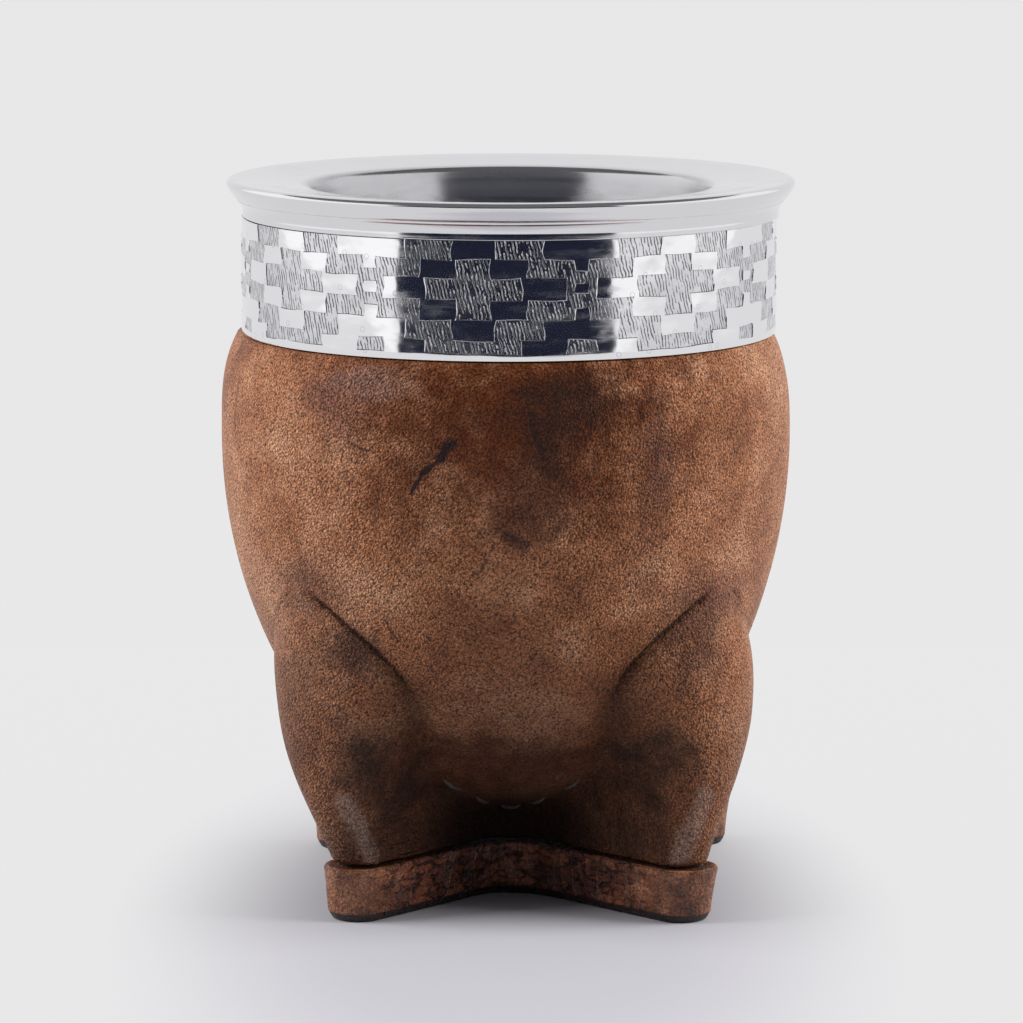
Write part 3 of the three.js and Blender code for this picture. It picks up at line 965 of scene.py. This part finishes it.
collar = {
    "top": 107.4,
    "radius": 42.5,
    "mouth": 28.3,
    "mouthHeight": 106.5,
    "sheet": 0.7,
    "throat": [(2.8, 0.0), (2.05, 0.2), (1.55, 0.7), (1.3, 1.5), (1.1, 2.5), (0.8, 4.0), (0.55, 5.5),
               (0.3, 8.0), (0.1, 10.5), (0.0, 13.3)],
    "shift": 0.4,
    "metal": (0.76, 0.76, 0.78),
    # the throat's metal is painted darker, as painted shade inside the mouth
    "throatShadeMetal": (0.50, 0.50, 0.52),
    "pitMetal": (0.12, 0.12, 0.13),
    "roughness": 0.1,
}
band = {
    "bottom": 84.5,
    "top": 101.8,
    "radius": 40.1,
    "sheet": 0.5,
    "relief": 0.13,
    "bevel": 0.05,
    "motifs": 8,
    "firstMotif": -7.3,
    "lean": 14.0,
    "strokeGap": 0.52,
    "shift": 0.1,
    "metal": (0.85, 0.85, 0.87),
    "groundMetal": (0.45, 0.45, 0.48),
    # painted shade in the cut strokes
    "strokeShadeMetal": (0.13, 0.13, 0.15),
    "punchMetal": (0.4, 0.4, 0.43),
    "roughness": 0.07,
}


def behind(front, thickness):
    # the back of a sheet whose front runs inwards and down
    along = np.gradient(np.array(front), axis=0)
    along *= thickness / np.linalg.norm(along, axis=1)[:, None]
    return [(r - dz, z + dr) for (r, z), (dr, dz) in zip(front, along)]


def makeCollar():
    top, r, mouth, h = (collar[k] for k in ("top", "radius", "mouth", "mouthHeight"))
    skirt = band["radius"] - band["sheet"] - 0.6
    seat, end = band["top"] + 0.05, band["bottom"] + 0.3
    cove = softCurve([(40.12, seat + 0.06), (40.14, seat + 0.6), (40.16, 102.95), (40.34, 103.5),
                      (40.62, 103.9), (40.96, 104.28)])
    groove = [(40.9, 104.42), (41.12, 104.52)]
    lip = softCurve([(41.2, 104.6), (41.55, 105.0), (41.95, 105.6), (42.32, 106.15), (r, 106.7),
                     (r - 0.1, 107.02), (r - 0.4, 107.3), (r - 0.9, top), (r - 1.6, top - 0.03),
                     (r - 3.2, top - 0.13), (36.5, top - 0.42), (33.0, h + 0.14)])
    throat = softCurve([(mouth + wider, h - depth) for wider, depth in collar["throat"]])
    back = behind(throat, collar["sheet"])[::-1]
    profile = ([(skirt - 0.7, end), (skirt, end), (skirt, seat), (40.0, seat)]
               + cove + groove + lip + throat + [(mouth + 0.35, throat[-1][1] - 0.2)]
               + back + [(r - 2.1, top - 1.0), (r - 1.5, 106.0), (skirt, 103.6), (skirt - 0.7, 102.4)])
    return turned("spunCollar", profile, "collar", collar["shift"])


def makeCollarMetal():
    material, tree, shader, p = newMaterial("polishedMetal")
    polish = place(tree, handPolish, {"Vector": p, "Wave Size": 9.0})
    spun = noise(tree, vectorCalc(tree, "MULTIPLY", p, (0.03, 0.03, 6.0)), 1.0, 2.0)
    fromAxis = vectorCalc(tree, "LENGTH", vectorCalc(tree, "MULTIPLY", p, (1, 1, 0)))
    # cast pits show on the outside of the cove alone
    height = axis(tree, p, "Z")
    onCove = times(tree, remap(tree, height, 105.2, 104.9), remap(tree, height, 103.3, 103.6))
    pits = times(tree, times(tree, polish["Pits"], onCove), calc(tree, "GREATER_THAN", fromAxis, 40.0))
    throat = remap(tree, fromAxis, 31.6, 29.4)
    # painted shade inside the mouth
    metal = blend(tree, throat, collar["metal"], collar["throatShadeMetal"])
    metal = blend(tree, times(tree, pits, 0.8), metal, collar["pitMetal"])
    rough = calc(tree, "MULTIPLY_ADD", throat, 0.1, calc(
        tree, "MULTIPLY_ADD", polish["Haze"], 0.10, collar["roughness"]))
    normal = bump(tree, polish["Waves"], 0.25, 0.35)
    normal = bump(tree, spun, 0.01, 0.4, normal)
    finish(tree, shader, metal, rough, bump(tree, pits, -0.2, 0.8, normal))
    shader.inputs["Metallic"].default_value = 1.0
    return material


spunCollar = makeCollar()
dress(spunCollar, makeCollarMetal())
print("collar made")


# The engraved band: raised polished figures on a ground of cut strokes.
# One motif's figures, right half: from, to across the band and from, to in height, in mm.
# A motif is a stepped diamond round a cross, with half of the bar figures between two diamonds.

figures = [
    (0.0, 3.2, 99.1, 101.8), (2.5, 7.95, 96.4, 99.1), (7.1, 7.95, 93.3, 96.4), (7.95, 13.6, 93.3, 96.4),
    (2.5, 7.95, 90.4, 93.3), (0.0, 3.2, 87.5, 90.4),
    (10.2, 16.0, 99.1, 101.8), (14.7, 16.0, 97.4, 99.1), (14.7, 16.0, 94.1, 95.6),
    (14.7, 16.0, 90.4, 92.2), (10.2, 16.0, 87.5, 90.4), (7.1, 13.6, 85.6, 87.5),
    (0.0, 16.0, 84.5, 85.6),
]


def gridLines(edges, low, high, bevel, widest):
    lines = [low, high]
    for edge in edges:
        lines += [edge - bevel, edge + bevel]
    lines = sorted(line for line in set(np.round(lines, 4)) if low <= line <= high)
    filled = [lines[0]]
    for line in lines[1:]:
        extra = int((line - filled[-1]) / widest)
        start = filled[-1]
        filled += [start + (line - start) * (k + 1) / (extra + 1) for k in range(extra)]
        filled.append(line)
    return np.array(filled)


def makeBand():
    radius, relief = band["radius"], band["relief"]
    half = math.pi * radius / band["motifs"]
    heights = gridLines({z for f in figures for z in f[2:]}, band["bottom"], band["top"], band["bevel"], 0.7)
    across = gridLines({x for f in figures for x in f[:2] if 0 < x < half}, 0.0, half, band["bevel"], 0.75)
    columns = np.concatenate([-across[:0:-1], across[:-1]])
    raised = np.zeros((len(heights), len(columns)))
    for left, right, low, high in figures:
        insideX = (np.abs(columns) >= left) & (np.abs(columns) <= right)
        insideZ = (heights >= low) & (heights <= high)
        raised[np.ix_(insideZ, insideX)] = 1
    along = []
    for k in range(band["motifs"]):
        stretch = 1 + rng.uniform(-0.025, 0.025)
        edge = np.abs(columns) / half
        warped = columns * (1 + (stretch - 1) * (1 - edge))
        along.append(warped + 2 * half * k)
    along = np.concatenate(along)
    raised = np.tile(raised, (1, band["motifs"]))
    u, z = np.meshgrid(along, heights)
    turn = u / radius
    # the engraver's hand: edges wander a little
    handZ = 0.10 * np.sin(turn * 11 + z * 0.7) + 0.07 * np.sin(turn * 29 + z * 1.9 + 1)
    handU = 0.14 * np.sin(turn * 16 + z * 1.3 + 2) + 0.08 * np.sin(turn * 37 - z * 2.3)
    free = smoothStep(band["bottom"], band["bottom"] + 1.6, z) * smoothStep(band["top"], band["top"] - 1.0, z)
    u2, z2 = u + handU, z + handZ * free
    angle = np.degrees(u2 / radius) + band["firstMotif"]
    edgeDrop = 0.12 * share(band["bottom"] + 0.25, band["bottom"], z) ** 2
    surface = radius - relief * (1 - raised) - edgeDrop
    outer = onCup(angle, surface, z2, band["shift"])
    count = len(along)
    inner = radius - band["sheet"]
    innerLow = onCup(angle[0], inner, band["bottom"], band["shift"])
    innerHigh = onCup(angle[0], inner, band["top"], band["shift"])
    points = np.concatenate([innerLow, outer.reshape(-1, 3), innerHigh])
    faces = gridFaces(len(heights) + 2, count, closed=True)
    piece = meshPiece("engravedBand", points, faces, "engraved_band")
    piece.data.set_sharp_from_angle(angle=math.radians(24))
    addMask(piece, "figure", np.concatenate([np.ones(count), raised.ravel(), np.ones(count)]))
    layer = piece.data.uv_layers.new(name="unrolled")
    flatU = np.concatenate([u[0], u2.ravel(), u[0]])
    flatZ = np.concatenate([np.full(count, band["bottom"]), z2.ravel(), np.full(count, band["top"])])
    corner = np.zeros(len(piece.data.loops), np.int32)
    piece.data.loops.foreach_get("vertex_index", corner)
    uv = np.stack([flatU[corner], flatZ[corner]], 1)
    # the last column closes on the first
    farthest = uv[:, 0].reshape(-1, 4).max(axis=1).repeat(4)
    uv[farthest - uv[:, 0] > half, 0] += 2 * half * band["motifs"]
    layer.data.foreach_set("uv", uv.astype(np.float32).ravel())
    return piece


def makeBandMetal():
    material, tree, shader, p = newMaterial("engravedMetal")
    figure = remap(tree, mask(tree, "figure"), 0.35, 0.65)
    ground = flip(tree, figure)
    unrolled = put(tree, "UVMap", uv_map="unrolled").outputs["UV"]
    # hand-cut strokes: leaning lines side by side, broken up where the graver was lifted
    leaning = put(tree, "VectorRotate", {"Vector": unrolled, "Center": (0, 93, 0), "Angle": math.radians(
        -band["lean"])}, rotation_type="Z_AXIS").outputs[0]
    rows = put(tree, "TexWave", {"Vector": leaning, "Scale": 0.314 / band["strokeGap"], "Distortion": 4.6,
                                 "Detail": 2.0, "Detail Scale": 0.85, "Detail Roughness": 0.6},
               bands_direction="X").outputs["Fac"]
    lifted = noise(tree, vectorCalc(tree, "MULTIPLY", leaning, (1.5, 0.42, 1.0)), 1.0, 2.0, 0.6)
    strokes = times(tree, remap(tree, rows, 0.62, 0.95), remap(tree, lifted, 0.42, 0.56))
    cutGround = times(tree, strokes, ground)
    polish = place(tree, handPolish, {"Vector": p, "Wave Size": 5.0})
    # small ring punches left on the polished steps
    cells = put(tree, "TexVoronoi", {"Vector": unrolled, "Scale": 0.36, "Randomness": 1.0},
                voronoi_dimensions="2D")
    chosen = calc(tree, "GREATER_THAN", put(tree, "SeparateColor", {
        "Color": cells.outputs["Color"]}).outputs[1], 0.62)
    ringEdge = calc(tree, "ABSOLUTE", calc(tree, "SUBTRACT", cells.outputs["Distance"], 0.13))
    punched = times(tree, remap(tree, ringEdge, 0.045, 0.0), times(tree, chosen, figure))
    metal = blend(tree, times(tree, ground, 0.40), band["metal"], band["groundMetal"])
    # painted shade in the cut strokes
    metal = blend(tree, times(tree, cutGround, 0.85), metal, band["strokeShadeMetal"])
    metal = blend(tree, times(tree, punched, 0.4), metal, band["punchMetal"])
    rough = calc(tree, "MULTIPLY_ADD", strongest(tree, ground, punched), 0.05, calc(
        tree, "MULTIPLY_ADD", polish["Haze"], 0.10, band["roughness"]))
    normal = bump(tree, polish["Waves"], 0.2, 0.5)
    finish(tree, shader, metal, rough, bump(tree, cutGround, -0.13, 1.0, normal))
    shader.inputs["Metallic"].default_value = 1.0
    return material


engravedBand = makeBand()
dress(engravedBand, makeBandMetal())
print("band made", len(engravedBand.data.polygons))


# Floor, light and camera

studio = {
    "floor": (0.31, 0.305, 0.33),
    "wall": (0.80, 0.795, 0.805),
    "wallGlow": 1.0,
    "tableFront": -0.45,
    "tableEdge": 0.2,
    "halfWidth": 0.9,
    "bendRadius": 0.9,
    "wallTop": 2.2,
    "poolScale": (2.0, 0.75, 0.0),
    "poolShift": (0.0, 0.0225, 0.0),
    "poolFade": (0.045, 0.125),
    "worldStrength": 0.2,
    "cardDistance": 1.15,
    "cardLow": -0.4,
    "darkTop": 0.42,
    "cardTop": 0.95,
    "lampTarget": (0.0, 0.0, 0.05),
    "lens": 190.1,
    "cameraPlace": (0.0005, -0.80637, 0.17979),
    "cameraDip": 8.674,
}
# cards: name, from and to angle, from and to height, colour, strength
cards = [
    ("cardDark", -47.5, 44.0, studio["cardLow"], studio["darkTop"], (0.012, 0.014, 0.03), 1.0),
    ("cardPale", -47.5, 44.0, studio["darkTop"], studio["cardTop"], (0.9, 0.92, 1.0), 0.17),
    ("cardLeft", -140.0, -47.5, studio["cardLow"], studio["cardTop"], (1.0, 1.0, 1.0), 1.1),
    ("cardRight", 44.0, 140.0, studio["cardLow"], studio["cardTop"], (1.0, 1.0, 1.0), 1.05),
]
# lamps: name, position, size, power
lamps = [
    ("softTop", (0.0, 0.0, 1.3), (1.4, 1.2), 4.5),
    ("softLeft", (-1.0, -0.1, 0.6), (0.7, 0.7), 23.0),
    ("softRight", (1.0, -0.08, 0.6), (0.7, 0.7), 24.0),
]


def plainMaterial(name, colour, strength=None):
    material = bpy.data.materials.new(name)
    material.use_nodes = True
    shader = material.node_tree.nodes["Principled BSDF"]
    shader.inputs["Base Color"].default_value = (*colour, 1)
    shader.inputs["Roughness"].default_value = 0.9
    shader.inputs["Specular IOR Level"].default_value = 0.1
    if strength is not None:
        shader.inputs["Base Color"].default_value = (0, 0, 0, 1)
        shader.inputs["Emission Color"].default_value = (*colour, 1)
        shader.inputs["Emission Strength"].default_value = strength
        # big even sheets are found by the bounces alone, which renders faster
        material.cycles.emission_sampling = "NONE"
    return material


def strip(name, points, material):
    # a sheet through pairs of points
    mesh = bpy.data.meshes.new(name)
    mesh.from_pydata(points, [], [(k, k + 1, k + 3, k + 2) for k in range(0, len(points) - 2, 2)])
    mesh.materials.append(material)
    piece = addObject(name, mesh)
    return piece


def paper(name, line, material):
    # paper that follows a line of (y, z) from front to back
    width = studio["halfWidth"]
    strip(name, [(x, y, z) for y, z in line for x in (-width, width)], material).data.shade_smooth()


def makeFloor():
    edge, bend = studio["tableEdge"], studio["bendRadius"]
    floorPaper = plainMaterial("floorPaper", studio["floor"])
    tree = floorPaper.node_tree
    # only the floor near the cup shows its shadow, the rest runs into the wall's even glow
    pool = vectorCalc(tree, "MULTIPLY_ADD", put(tree, "TexCoord").outputs["Object"],
                      studio["poolScale"], studio["poolShift"])
    far = remap(tree, vectorCalc(tree, "LENGTH", pool), *studio["poolFade"])
    shader = tree.nodes["Principled BSDF"]
    plug(tree, shader.inputs["Base Color"], blend(tree, far, studio["floor"], (0, 0, 0)))
    shader.inputs["Emission Color"].default_value = (*studio["wall"], 1)
    plug(tree, shader.inputs["Emission Strength"], far)
    floorPaper.cycles.emission_sampling = "NONE"
    paper("floor", [(studio["tableFront"], 0.0), (edge, 0.0)], floorPaper)
    rise = [(edge, 0.0)] + [(edge + bend * math.sin(a), bend * (1 - math.cos(a)))
                            for a in np.linspace(0.06, math.pi / 2, 20)]
    paper("backdrop", rise + [(edge + bend, studio["wallTop"])],
          plainMaterial("wallPaper", studio["wall"], studio["wallGlow"]))


def makeCard(name, fromAngle, toAngle, low, high, colour, strength):
    ring = onCup(np.linspace(fromAngle, toAngle, 24), studio["cardDistance"], 0.0)
    points = [(x, y, z) for x, y, _ in ring for z in (low, high)]
    strip(name, points, plainMaterial(name, colour, strength)).visible_camera = False


def makeLight(name, position, size, power):
    data = bpy.data.lights.new(name, "AREA")
    data.shape = "RECTANGLE"
    data.size, data.size_y = size
    data.energy = power
    lamp = addObject(name, data)
    lamp.location = position
    away = np.array(position) - np.array(studio["lampTarget"])
    tilt = math.acos(away[2] / np.linalg.norm(away))
    lamp.rotation_euler = (tilt, 0, math.atan2(away[1], away[0]) + math.pi / 2)
    lamp.visible_glossy = False


makeFloor()
for card in cards:
    makeCard(*card)
for lamp in lamps:
    makeLight(*lamp)

world = bpy.data.worlds.new("studioAir")
bpy.context.scene.world = world
world.use_nodes = True
# the air is as pale as the wall where the camera sees it, and dim as a light
air = world.node_tree.nodes["Background"]
air.inputs["Color"].default_value = (*studio["wall"], 1)
seen = put(world.node_tree, "LightPath").outputs["Is Camera Ray"]
plug(world.node_tree, air.inputs["Strength"], calc(
    world.node_tree, "MULTIPLY_ADD", seen, 1 - studio["worldStrength"], studio["worldStrength"]))

view = bpy.data.cameras.new("photoView")
view.sensor_width = 36.0
view.lens = studio["lens"]
view.clip_start = 0.01
view.clip_end = 20.0
camera = addObject("photoView", view)
camera.location = studio["cameraPlace"]
camera.rotation_euler = (math.radians(90 - studio["cameraDip"]), 0, 0)
bpy.context.scene.camera = camera
bpy.context.scene.view_settings.view_transform = "Standard"
print("studio made")
